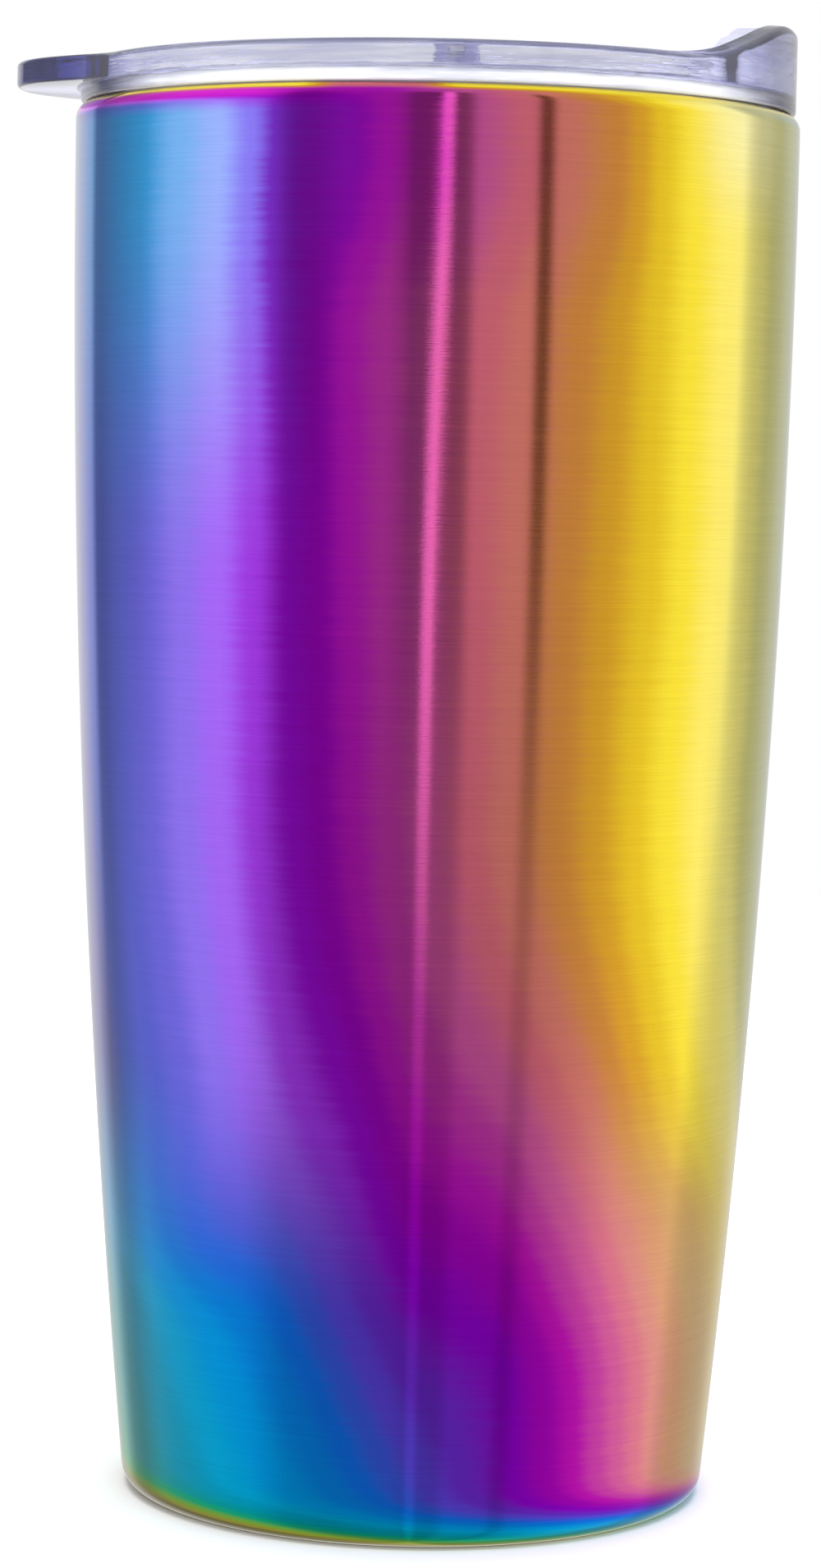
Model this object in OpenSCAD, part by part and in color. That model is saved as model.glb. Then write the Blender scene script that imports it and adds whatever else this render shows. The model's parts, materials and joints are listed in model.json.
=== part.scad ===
// Double-walled vacuum tumbler with a clear press-in lid and a flip cap.
// Millimetres. The origin is on the cup's axis at the surface it stands on, +Z up.
// The drinking spout is at +X and the lid's pull tab at -X.

/* [Steel body] */
// Widest radius of the outer shell
body_r = 43; // [42.8:0.1:44]
// Height of the drinking lip
body_h = 165.2; // [160:0.2:170]
// Radius of the long curve down the side
side_curve_r = 1667; // [1500:1:2000]
// Radius of the bottom edge
base_edge_r = 2.6; // [2:0.1:3.5]
// Thickness of the steel sheet
sheet = 0.5; // [0.4:0.05:0.6]
// Inner radius of the mouth
mouth_r = 40.6; // [40.5:0.05:40.7]
// Height of the liner's floor above the table
liner_floor_h = 9; // [8:0.5:14]

/* [Lid] */
// Outer radius of the lid's brim
brim_r = 42.45; // [42.2:0.05:42.8]
// Height of the brim
brim_h = 4.5; // [4:0.1:4.6]
// Gap between the lip and the underside of the brim
lip_gap = 0.3; // [0.3:0.1:0.6]
// Depth of the recess below the brim's top
recess_d = 5.4; // [5:0.1:5.8]
// How far the pull tab stands out from the brim
tab_l = 7.65; // [5:0.05:10]
// Rise of the drinking spout above the brim
spout_rise = 5.2; // [4.4:0.1:5.4]

/* [Flip cap] */
// Distance of the cap's hinge from the cup's axis
hinge_x = 2; // [1.5:0.1:2.5]
// Height of the hinge axis above the brim's top
hinge_rise = 0.6; // [0.5:0.1:1]
// Radius of the hinge pin
pin_r = 1; // [0.8:0.1:1.1]

/* [Hidden] */
$fn = 96;
eps = 0.01;

// Shoulder and lip of the body: two arcs that meet at shoulder_turn
shoulder_r = 2;
lip_r = 1;
shoulder_turn = 44;
widest_h = body_h - lip_r - (shoulder_r - lip_r) * sin(shoulder_turn);
lip_x = body_r - shoulder_r + (shoulder_r - lip_r) * cos(shoulder_turn);
lip_z = body_h - lip_r;

// Foot of the body
foot_in_r = 29.4;
foot_edge_r = 0.8;
foot_h = 3.2;
base_edge_x = body_r - side_curve_r
    + sqrt(pow(side_curve_r - base_edge_r, 2) - pow(widest_h - base_edge_r, 2));
base_edge_turn = asin((widest_h - base_edge_r) / (side_curve_r - base_edge_r));
side_steps = 24;

// Liner
straight_mouth_h = 140;
liner_corner_r = 9;
liner_join_h = liner_floor_h + liner_corner_r + 1;
wall_gap_top = side_r(straight_mouth_h) - mouth_r;
wall_gap_bottom = 4.6;

// Base plate, its pocket and the hole that the air was drawn out through
plate_z = 1.7;
plate_r = foot_in_r - 0.05;
pocket_r = 10;
pocket_top = 5.1;
air_hole_r = 0.6;

// Getter
getter_x = 18;
getter_r = 4;
getter_h = 2.4;

// Heights that the lid's pieces share
brim_z = body_h + lip_gap;
top_z = brim_z + brim_h;
flange_top = brim_z + 1.4;
floor_top = top_z - recess_d;
floor_bottom = floor_top - 1.8;
crest_z = top_z + spout_rise;
hinge_z = top_z + hinge_rise;

// Lid body
wall_in_r = brim_r - 1.95;
skirt_r = mouth_r - 0.7;
skirt_in_r = skirt_r - 1.8;
skirt_bottom = brim_z - 8;
groove_r = skirt_r - 0.9;
groove_z = skirt_bottom + 1.2;
groove_h = 2.4;
tab_turn = 27;
tab_power = 1.2;
tab_bottom = brim_z + 1.6;
spout_in_r = brim_r - 2.6;

// Drinking slot, vent hole and the stopper
slot_x = 33.2;
slot_end_y = 6;
slot_r = 2.6;
vent_x = 14;
vent_r = 1.2;
stem_x = 26.5;
stem_r = 1.5;

// Flip cap and its hinge
ear_t = 2.2;
ear_gap = 0.3;
knuckle_half = 7.3;
knuckle_r = 2.3;
bore_clearance = 0.06;
cap_bottom = floor_top + 2.2;
cap_t = 2;
cap_front_r = skirt_in_r - 0.6;
cap_half = 9.8;
nose_turn = 12.5;

// Points along an arc, from angle a0 to a1 in n steps
function arc_pts(cx, cy, r, a0, a1, n = 8) =
    [for (i = [0:n]) let (a = a0 + (a1 - a0) * i / n) [cx + r * cos(a), cy + r * sin(a)]];

// The same points in the opposite order
function reversed(pts) = [for (i = [len(pts) - 1:-1:0]) pts[i]];

// Radius of the body's side at height z, moved inwards by in_by
function side_r(z, in_by = 0) =
    body_r - side_curve_r + sqrt(pow(side_curve_r - in_by, 2) - pow(widest_h - z, 2));

// The body's side from the bottom edge up to its widest point, moved inwards by in_by
function side_pts(in_by = 0) = let (low = base_edge_r + 2)
    [for (i = [0:side_steps]) let (z = low + (widest_h - low) * i / side_steps) [side_r(z, in_by), z]];

// Inner radius of the liner at height z
function liner_r(z) = z >= straight_mouth_h
    ? mouth_r
    : side_r(z) - wall_gap_top
        - (wall_gap_bottom - wall_gap_top) * (straight_mouth_h - z) / (straight_mouth_h - liner_floor_h);

// The liner's side from height low up to its straight mouth, moved outwards by out_by
function liner_pts(low, out_by = 0) =
    [for (i = [0:side_steps]) let (z = low + (straight_mouth_h - low) * i / side_steps)
        [liner_r(z) + out_by, z]];

// Distance from the axis to the tab's outline, at an angle from the tab's middle
function tab_reach(turn) = brim_r
    + tab_l * (1 + cos(180 * pow(min(abs(turn) / tab_turn, 1), tab_power))) / 2;

// Half of the spout's top edge across the lid: flat crest, round shoulder, slope and round foot
function spout_edge_pts() =
    let (slope = 20, crest_half = 10, shoulder = 26, foot = 22,
         shoulder_y = crest_half + shoulder * sin(slope),
         shoulder_z = crest_z - shoulder * (1 - cos(slope)),
         slope_drop = shoulder_z - top_z - foot * (1 - cos(slope)),
         foot_y = shoulder_y + foot * sin(slope) + slope_drop / tan(slope))
    concat(arc_pts(crest_half, crest_z - shoulder, shoulder, 90, 90 - slope, 10),
           arc_pts(foot_y, top_z + foot, foot, 270 - slope, 270, 6));

// Turns a closed outline of [radius, height] points round the cup's axis
module turned(points) {
    rotate_extrude() polygon(points);
}

// A plate in the shape of the drinking slot, with round ends: radius r0 at z0 and r1 at z1
module slot_plate(r0, r1, z0, z1) {
    translate([slot_x, slot_end_y, 0]) rotate([90, 0, 0]) linear_extrude(2 * slot_end_y)
        polygon([[-r0, z0], [r0, z0], [r1, z1], [-r1, z1]]);
    for (s = [-1, 1]) translate([slot_x, s * slot_end_y, z0]) cylinder(r1 = r0, r2 = r1, h = z1 - z0);
}

// A cylinder along Y on the hinge axis
module hinge_cylinder(r, half_length) {
    translate([hinge_x, half_length, hinge_z]) rotate([90, 0, 0]) cylinder(r = r, h = 2 * half_length);
}

// Drawn outer wall: foot ring, round bottom edge, curved side and rounded shoulder
module outer_shell() {
    foot_x = foot_in_r + foot_edge_r;
    color("mediumorchid") turned(concat(
        [[foot_in_r, foot_h]],
        arc_pts(foot_x, foot_edge_r, foot_edge_r, 180, 270, 5),
        arc_pts(base_edge_x, base_edge_r, base_edge_r, -90, -base_edge_turn),
        side_pts(),
        arc_pts(body_r - shoulder_r, widest_h, shoulder_r, 6, shoulder_turn, 5),
        arc_pts(lip_x, lip_z, lip_r, shoulder_turn + 6, 90, 5),
        [[mouth_r + sheet, body_h], [mouth_r + sheet, body_h - sheet]],
        arc_pts(lip_x, lip_z, lip_r - sheet, 90, shoulder_turn, 5),
        arc_pts(body_r - shoulder_r, widest_h, shoulder_r - sheet, shoulder_turn - 6, 6, 5),
        reversed(side_pts(sheet)),
        arc_pts(base_edge_x, base_edge_r, base_edge_r - sheet, -base_edge_turn, -90),
        arc_pts(foot_x, foot_edge_r, foot_edge_r - sheet, 270, 180, 5),
        [[foot_in_r + sheet, foot_h]]));
}

// Inner wall: tapered side, straight mouth and the rolled inner edge of the lip
module liner_wall() {
    edge_r = sheet * 0.8;
    color("silver") turned(concat(
        liner_pts(liner_join_h),
        arc_pts(mouth_r + edge_r, body_h - edge_r, edge_r, 180, 90, 5),
        [[mouth_r + sheet, body_h]],
        reversed(liner_pts(liner_join_h, sheet))));
}

// Pressed floor of the liner, welded to its wall
module liner_base() {
    corner_z = liner_floor_h + liner_corner_r;
    corner_x = liner_r(corner_z) - liner_corner_r;
    join_r = liner_r(liner_join_h);
    color("silver") turned(concat(
        [[0, liner_floor_h]],
        arc_pts(corner_x, corner_z, liner_corner_r, -90, -4, 12),
        [[join_r, liner_join_h], [join_r + sheet, liner_join_h]],
        arc_pts(corner_x, corner_z, liner_corner_r + sheet, -4, -90, 12),
        [[0, liner_floor_h - sheet]]));
}

// Foil wrapped round the liner, which reflects radiant heat
module copper_foil() {
    foil_gap = 0.15;
    foil_t = 0.15;
    low = liner_join_h + 3;
    color("peru") turned(concat(
        liner_pts(low, sheet + foil_gap),
        reversed(liner_pts(low, sheet + foil_gap + foil_t))));
}

// Pressed plate that closes the outer shell, with a pocket round the air hole
module base_plate() {
    color("darkgray") turned([
        [air_hole_r, pocket_top - sheet], [pocket_r - sheet, pocket_top - sheet],
        [pocket_r - sheet, plate_z], [plate_r, plate_z], [plate_r, foot_h],
        [plate_r - sheet, foot_h], [plate_r - sheet, plate_z + sheet],
        [pocket_r, plate_z + sheet], [pocket_r, pocket_top], [air_hole_r, pocket_top]]);
}

// Thin disc set into the foot ring, which hides the pressed plate
module base_cover() {
    cover_r = plate_r - 0.1;
    cover_z = 0.9;
    cover_t = 0.4;
    chamfer = 0.3;
    color("silver") turned([
        [0, cover_z], [cover_r - chamfer, cover_z], [cover_r, cover_z + chamfer], [cover_r, plate_z],
        [cover_r - cover_t, plate_z], [cover_r - cover_t, cover_z + cover_t], [0, cover_z + cover_t]]);
}

// Gas-absorbing pill that keeps the vacuum
module getter() {
    color("dimgray") translate([getter_x, 0, plate_z + sheet]) cylinder(r = getter_r, h = getter_h);
}

// Spot-welded strap that holds the getter down
module getter_strap() {
    strap_t = 0.3;
    strap_w = 3;
    in_x = getter_r + 0.1;
    out_x = in_x + strap_t;
    foot_x = out_x + 1.6;
    z0 = plate_z + sheet;
    z1 = z0 + getter_h + 0.02;
    right_half = [[out_x, z1 + strap_t], [out_x, z0 + strap_t], [foot_x, z0 + strap_t], [foot_x, z0],
                  [in_x, z0], [in_x, z1]];
    left_half = [for (p = reversed(right_half)) [-p[0], p[1]]];
    color("lightgray") translate([getter_x, strap_w / 2, 0]) rotate([90, 0, 0])
        linear_extrude(strap_w) polygon(concat(right_half, left_half));
}

// Bead of glass solder that sealed the hole after the air was drawn out
module vacuum_seal() {
    bead_r = 2.4;
    bead_h = 1.1;
    ball_r = (bead_r * bead_r + bead_h * bead_h) / (2 * bead_h);
    roof = pocket_top - sheet;
    color("darkslategray") intersection() {
        translate([0, 0, roof - bead_h + ball_r]) sphere(r = ball_r);
        translate([0, 0, roof - bead_h - 1]) cylinder(r = bead_r + 1, h = bead_h + 1);
    }
}

// Brim wall, flange, recessed floor and plug skirt of the lid, with the gasket's groove
module lid_turned() {
    floor_edge = 1.5;
    edge = 0.6;
    top_edge = 0.9;
    turned(concat(
        [[0, floor_top]],
        arc_pts(skirt_in_r - floor_edge, floor_top + floor_edge, floor_edge, -90, 0, 5),
        arc_pts(skirt_in_r + edge, flange_top - edge, edge, 180, 90, 5),
        arc_pts(wall_in_r - edge, flange_top + edge, edge, -90, 0, 5),
        arc_pts(wall_in_r + edge, top_z - edge, edge, 180, 90, 5),
        arc_pts(brim_r - top_edge, top_z - top_edge, top_edge, 90, 0, 6),
        arc_pts(brim_r - edge, brim_z + edge, edge, 0, -90, 5),
        [[skirt_r, brim_z], [skirt_r, groove_z + groove_h], [groove_r, groove_z + groove_h],
         [groove_r, groove_z], [skirt_r, groove_z]],
        arc_pts(skirt_r - edge, skirt_bottom + edge, edge, 0, -90, 4),
        [[skirt_in_r, skirt_bottom]],
        arc_pts(skirt_in_r - 1, floor_bottom - 1, 1, 0, 90, 4),
        [[0, floor_bottom]]));
}

// Raised drinking spout: a ring section trimmed to the spout's edge line
module lid_spout() {
    in_edge = 0.7;
    out_edge = 1;
    root = flange_top - 0.3;
    edge = spout_edge_pts();
    foot_y = edge[len(edge) - 1][0];
    intersection() {
        rotate([0, 0, -60]) rotate_extrude(angle = 120) polygon(concat(
            [[spout_in_r, root]],
            arc_pts(spout_in_r + in_edge, crest_z - in_edge, in_edge, 180, 90, 5),
            arc_pts(brim_r - out_edge, crest_z - out_edge, out_edge, 90, 0, 6),
            [[brim_r, top_z - 1.5], [brim_r - 1, root]]));
        rotate([90, 0, 90]) linear_extrude(brim_r + 1) polygon(concat(
            edge,
            [[foot_y, root - 1], [-foot_y, root - 1]],
            [for (p = reversed(edge)) [-p[0], p[1]]]));
    }
}

// Pull tab: a flat plate whose outline follows tab_reach()
module lid_tab() {
    step = 3;
    inner = brim_r - 1.5;
    translate([0, 0, tab_bottom]) linear_extrude(top_z - tab_bottom) polygon(concat(
        [for (t = [-tab_turn:step:tab_turn]) -tab_reach(t) * [cos(t), sin(t)]],
        [for (t = [tab_turn:-step:-tab_turn]) -inner * [cos(t), sin(t)]]));
}

// One ear of the cap's hinge, standing on the lid's floor
module hinge_ear() {
    ear_r = 2.5;
    foot = ear_r + 1;
    foot_z = floor_top - hinge_z - eps;
    translate([hinge_x, 0, hinge_z]) rotate([90, 0, 0]) linear_extrude(ear_t) {
        circle(r = ear_r);
        polygon([[-ear_r, 0], [ear_r, 0], [foot, foot_z], [-foot, foot_z]]);
    }
}

// Clear moulding: brim, recess, skirt, spout, pull tab and hinge ears
module lid_body() {
    color("lavender", 0.4) difference() {
        union() {
            lid_turned();
            lid_spout();
            lid_tab();
            for (y = [knuckle_half + ear_gap + ear_t, -knuckle_half - ear_gap])
                translate([0, y, 0]) hinge_ear();
        }
        slot_plate(slot_r, slot_r, floor_bottom - 1, floor_top + 1);
        translate([vent_x, 0, floor_bottom - 1]) cylinder(r = vent_r, h = floor_top - floor_bottom + 2);
        hinge_cylinder(pin_r + 0.02, knuckle_half + ear_gap + ear_t + 1);
    }
}

// Silicone ring with two wiping lips, seated in the skirt's groove
module lid_gasket() {
    back = groove_r + 0.15;
    body = skirt_r - 0.1;
    lip = mouth_r - 0.2;
    z0 = groove_z + 0.1;
    lip_outline = [[body, 0], [lip - 0.1, 0.35], [lip, 0.55], [lip - 0.1, 0.75], [body, 0.9]];
    color("whitesmoke") turned(concat(
        [[back, z0]],
        [for (lift = [0, 1.3]) for (p = lip_outline) [p[0], z0 + lift + p[1]]],
        [[back, z0 + 2.2]]));
}

// Steel pin that the flip cap turns on
module hinge_pin() {
    color("silver") hinge_cylinder(pin_r, knuckle_half + ear_gap + ear_t - 0.1);
}

// Upturned nose of the flip cap: a wall inside the spout, with a stepped thumb ledge on top
module cap_nose() {
    nose_r = spout_in_r - 0.45;
    wall_t = 1.8;
    ledge = crest_z + 0.15;
    step_r = nose_r - 4.4;
    rotate([0, 0, -nose_turn]) rotate_extrude(angle = 2 * nose_turn) polygon([
        [cap_front_r - wall_t - 1, cap_bottom], [cap_front_r, cap_bottom],
        [cap_front_r, flange_top + 0.9], [nose_r, flange_top + 2.7],
        [nose_r, ledge - 0.5], [nose_r - 0.5, ledge],
        [step_r + 0.7, ledge], [step_r, ledge - 0.4], [step_r - 0.3, ledge - 0.9],
        [step_r - 1.3, ledge - 1.3], [step_r - 2.4, ledge - 2.6], [step_r - 1.8, ledge - 3.1],
        [nose_r - wall_t - 1, ledge - 2.4],
        [nose_r - wall_t, ledge - 3.4], [nose_r - wall_t, flange_top + 3.4],
        [cap_front_r - wall_t - 1, cap_bottom + cap_t]]);
}

// Flip cap: knuckle, flat plate, vent nub and upturned nose
module flip_cap() {
    wide_x = hinge_x + 5;
    neck_back = 1.6;
    nub_r = 0.7;
    nub_dip = 0.5;
    half_plate = [[hinge_x, knuckle_half], [wide_x, knuckle_half], [wide_x + 14, cap_half],
                  [cap_front_r, cap_half]];
    color("lavender", 0.4) difference() {
        union() {
            hinge_cylinder(knuckle_r, knuckle_half);
            translate([hinge_x - neck_back, -knuckle_half, cap_bottom])
                cube([neck_back + knuckle_r, 2 * knuckle_half, hinge_z - cap_bottom]);
            translate([0, 0, cap_bottom]) linear_extrude(cap_t) intersection() {
                circle(r = cap_front_r);
                polygon(concat(half_plate, [for (p = reversed(half_plate)) [p[0], -p[1]]]));
            }
            translate([vent_x, 0, floor_top - nub_dip])
                cylinder(r = nub_r, h = cap_bottom - floor_top + nub_dip + eps);
            cap_nose();
        }
        hinge_cylinder(pin_r + bore_clearance, knuckle_half + 1);
        translate([stem_x, 0, cap_bottom - 1]) cylinder(r = stem_r + 0.05, h = cap_t + 2);
    }
}

// Silicone stopper: tapered plug, sealing flange, and a stem with a button head through the cap
module cap_stopper() {
    plug_bottom = floor_bottom + 0.2;
    flange_z = floor_top + 0.4;
    flange_t = cap_bottom - flange_z;
    flange_r = 3.5;
    tongue_r = 3;
    color("whitesmoke") {
        slot_plate(1.9, 2.3, plug_bottom, flange_z);
        slot_plate(flange_r, flange_r, flange_z, cap_bottom);
        translate([stem_x, -tongue_r, flange_z]) cube([slot_x - stem_x, 2 * tongue_r, flange_t]);
        translate([stem_x, 0, flange_z]) cylinder(r = tongue_r, h = flange_t);
        translate([stem_x, 0, flange_z]) cylinder(r = stem_r, h = flange_t + cap_t);
        translate([stem_x, 0, cap_bottom + cap_t]) cylinder(r1 = 2.4, r2 = 1.8, h = 0.8);
    }
}

outer_shell();
liner_wall();
liner_base();
copper_foil();
base_plate();
base_cover();
getter();
getter_strap();
vacuum_seal();
lid_body();
lid_gasket();
hinge_pin();
flip_cap();
cap_stopper();
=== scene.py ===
"""Looks of the vacuum tumbler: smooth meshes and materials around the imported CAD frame.

Metres, in the CAD's own frame: the cup's axis is Z, the spout is at +X, the pull tab at -X.
"""
import json
import math

import bmesh
import bpy
from mathutils import Matrix, Vector


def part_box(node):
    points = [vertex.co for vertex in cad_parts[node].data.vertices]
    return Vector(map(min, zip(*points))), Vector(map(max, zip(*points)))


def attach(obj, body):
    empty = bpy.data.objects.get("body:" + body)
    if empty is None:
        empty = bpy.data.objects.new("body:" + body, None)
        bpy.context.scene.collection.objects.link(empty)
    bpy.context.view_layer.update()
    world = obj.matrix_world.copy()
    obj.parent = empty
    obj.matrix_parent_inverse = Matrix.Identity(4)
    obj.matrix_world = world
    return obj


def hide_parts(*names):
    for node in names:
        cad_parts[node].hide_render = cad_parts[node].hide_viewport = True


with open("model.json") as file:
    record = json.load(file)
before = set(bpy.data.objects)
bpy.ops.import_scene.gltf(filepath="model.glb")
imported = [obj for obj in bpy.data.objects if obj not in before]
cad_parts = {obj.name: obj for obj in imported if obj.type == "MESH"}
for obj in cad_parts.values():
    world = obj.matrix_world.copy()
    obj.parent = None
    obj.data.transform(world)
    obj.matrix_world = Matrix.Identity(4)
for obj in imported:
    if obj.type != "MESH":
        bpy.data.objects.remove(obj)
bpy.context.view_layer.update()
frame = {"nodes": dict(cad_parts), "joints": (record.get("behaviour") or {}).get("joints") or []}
MM = 0.001


# ---------------------------------------------------------------- sizes, read from the frame

def top_of(node):
    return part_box(node)[1][2]


def bottom_of(node):
    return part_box(node)[0][2]


def radius_of(node):
    """Largest distance of a CAD node's points from the cup's axis."""
    return max(math.hypot(v.co.x, v.co.y) for v in frame["nodes"][node].data.vertices)


hinge = next(j for j in frame["joints"] if j["name"] == "cap_flip")["pos_m"]
HINGE_X, HINGE_Z = hinge[0], hinge[2]

BODY_R = radius_of("outer_shell")
BODY_H = top_of("outer_shell")
SHEET = 0.5 * MM
MOUTH_R = radius_of("liner_wall") - SHEET
LINER_FLOOR = bottom_of("liner_base") + SHEET
LINER_JOIN = bottom_of("liner_wall")
SKIRT_BOTTOM = bottom_of("lid_body")
BRIM_Z = SKIRT_BOTTOM + 8 * MM
BRIM_LOW = BRIM_Z - 0.2 * MM  # a little below the CAD's brim, so that it all but rests on the lip
TOP_Z = HINGE_Z - 0.6 * MM
CREST_Z = top_of("lid_body")
BRIM_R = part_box("lid_body")[1][0]
TAB_L = -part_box("lid_body")[0][0] - BRIM_R
SKIRT_R = MOUTH_R - 0.7 * MM
SKIRT_IN_R = SKIRT_R - 1.8 * MM
GROOVE_R = SKIRT_R - 0.9 * MM
GROOVE_Z = SKIRT_BOTTOM + 1.2 * MM
GROOVE_H = 2.4 * MM
FLANGE_TOP = BRIM_Z + 1.4 * MM
FLOOR_TOP = TOP_Z - 5.4 * MM
FLOOR_BOTTOM = FLOOR_TOP - 1.8 * MM
PIN_R = (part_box("hinge_pin")[1][2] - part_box("hinge_pin")[0][2]) / 2
PIN_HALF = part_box("hinge_pin")[1][1]
KNUCKLE_HALF = 7.3 * MM
CAP_BOTTOM = FLOOR_TOP + 2.2 * MM
CAP_T = 2 * MM
SLOT_X = 33.2 * MM
SLOT_END_Y = 6 * MM
VENT_X = 14 * MM
VENT_R = 1.2 * MM
STEM_X = 26.5 * MM
STEM_R = 1.5 * MM


# ---------------------------------------------------------------- mesh helpers

def arc(cx, cz, r, a0, a1, n):
    """Points along an arc, from angle a0 to a1 in degrees."""
    angles = [math.radians(a0 + (a1 - a0) * i / n) for i in range(n + 1)]
    return [(cx + r * math.cos(a), cz + r * math.sin(a)) for a in angles]


def smoothstep(a, b, x):
    t = min(max((x - a) / (b - a), 0), 1)
    return t * t * (3 - 2 * t)


def new_object(name, bm, sharp_deg=32):
    """Makes an object of a bmesh, shaded smooth except across edges sharper than sharp_deg."""
    bmesh.ops.remove_doubles(bm, verts=bm.verts, dist=1e-7)
    bmesh.ops.dissolve_degenerate(bm, edges=bm.edges, dist=1e-8)
    loose = [e for e in bm.edges if not e.link_faces]
    bmesh.ops.delete(bm, geom=loose, context="EDGES")
    bmesh.ops.recalc_face_normals(bm, faces=bm.faces)
    mesh = bpy.data.meshes.new(name)
    bm.to_mesh(mesh)
    bm.free()
    obj = bpy.data.objects.new(name, mesh)
    bpy.context.scene.collection.objects.link(obj)
    shade(obj, sharp_deg)
    return obj


def shade(obj, sharp_deg=32):
    obj.data.shade_smooth()
    obj.data.set_sharp_from_angle(angle=math.radians(sharp_deg))


def skin(bm, rings, close_ends=True):
    """Quads between neighbouring rings of points. A closed outline needs no end caps."""
    rows = [[bm.verts.new(p) for p in ring] for ring in rings]
    n = len(rows[0])
    for a, b in zip(rows, rows[1:]):
        for i in range(n):
            bm.faces.new((a[i], a[(i + 1) % n], b[(i + 1) % n], b[i]))
    if close_ends:
        bm.faces.new(rows[0][::-1])
        bm.faces.new(rows[-1])


def turned_rings(outline_at, segments):
    """The closed outline that outline_at(angle) gives, at every step round the Z axis."""
    rings = []
    for i in range(segments):
        a = 2 * math.pi * i / segments
        rings.append([(r * math.cos(a), r * math.sin(a), z) for r, z in outline_at(a)])
    return rings


def turned(name, outline, segments=288, sharp_deg=32):
    """A closed outline of (radius, height) points turned round the cup's axis."""
    return turned_by(name, lambda a: outline, segments, sharp_deg)


def turned_by(name, outline_at, segments, sharp_deg=32):
    bm = bmesh.new()
    rings = turned_rings(outline_at, segments)
    skin(bm, rings + [rings[0]], close_ends=False)
    return new_object(name, bm, sharp_deg)


def cylinder_y(name, x, z, outline, segments=64):
    """An open outline of (radius, y) points turned round a line along Y, with flat ends."""
    bm = bmesh.new()
    rings = []
    for r, y in outline:
        angles = [2 * math.pi * i / segments for i in range(segments)]
        rings.append([(x + r * math.cos(a), y, z + r * math.sin(a)) for a in angles])
    skin(bm, rings)
    return new_object(name, bm)


def pin_outline(r, half, edge):
    """The outline for cylinder_y of a pin with rounded ends."""
    ends = arc(r - edge, half - edge, edge, 90, 0, 4)
    return [(r, -y) for r, y in ends] + [(r, y) for r, y in reversed(ends)]


def combine(obj, other, operation):
    """Boolean of two closed meshes, kept on obj; other is deleted."""
    modifier = obj.modifiers.new("combine", "BOOLEAN")
    modifier.operation = operation
    modifier.solver = "EXACT"
    modifier.object = other
    apply_modifiers(obj)
    bpy.data.objects.remove(other)
    return obj


def apply_modifiers(obj):
    graph = bpy.context.evaluated_depsgraph_get()
    made = bpy.data.meshes.new_from_object(obj.evaluated_get(graph))
    obj.modifiers.clear()
    old = obj.data
    obj.data = made
    bpy.data.meshes.remove(old)
    made.name = obj.name
    return obj


def round_edges(obj, width, angle=40):
    """Rounds the edges at which the surface turns by more than the angle in degrees."""
    modifier = obj.modifiers.new("round", "BEVEL")
    modifier.width = width
    modifier.segments = 3
    modifier.limit_method = "ANGLE"
    modifier.angle_limit = math.radians(angle)
    apply_modifiers(obj)
    shade(obj)
    return obj


def place(obj, body, finish, node):
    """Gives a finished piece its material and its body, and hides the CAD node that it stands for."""
    obj.data.materials.clear()
    obj.data.materials.append(finish)
    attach(obj, body)
    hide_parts(node)


# ---------------------------------------------------------------- the steel cup

SHOULDER_R = 2 * MM
LIP_R = 1 * MM
SHOULDER_TURN = 44
SIDE_CURVE_R = 1667 * MM
WIDEST_H = BODY_H - LIP_R - (SHOULDER_R - LIP_R) * math.sin(math.radians(SHOULDER_TURN))
LIP_X = BODY_R - SHOULDER_R + (SHOULDER_R - LIP_R) * math.cos(math.radians(SHOULDER_TURN))
LIP_Z = BODY_H - LIP_R
BASE_EDGE_R = 2.6 * MM
FOOT_IN_R = 29.4 * MM
FOOT_H = 3.2 * MM
STRAIGHT_MOUTH_H = 140 * MM
LINER_CORNER_R = 9 * MM
WALL_GAP_BOTTOM = 4.6 * MM


def side_r(z, in_by=0.0):
    """Radius of the body's side at height z, moved inwards by in_by."""
    return BODY_R - SIDE_CURVE_R + math.sqrt((SIDE_CURVE_R - in_by) ** 2 - (WIDEST_H - z) ** 2)


def liner_r(z):
    """Inner radius of the liner at height z."""
    if z >= STRAIGHT_MOUTH_H:
        return MOUTH_R
    gap_top = side_r(STRAIGHT_MOUTH_H) - MOUTH_R
    share = (STRAIGHT_MOUTH_H - z) / (STRAIGHT_MOUTH_H - LINER_FLOOR)
    return side_r(z) - gap_top - (WALL_GAP_BOTTOM - gap_top) * share


def heights(low, high, n):
    return [low + (high - low) * i / n for i in range(n + 1)]


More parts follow.
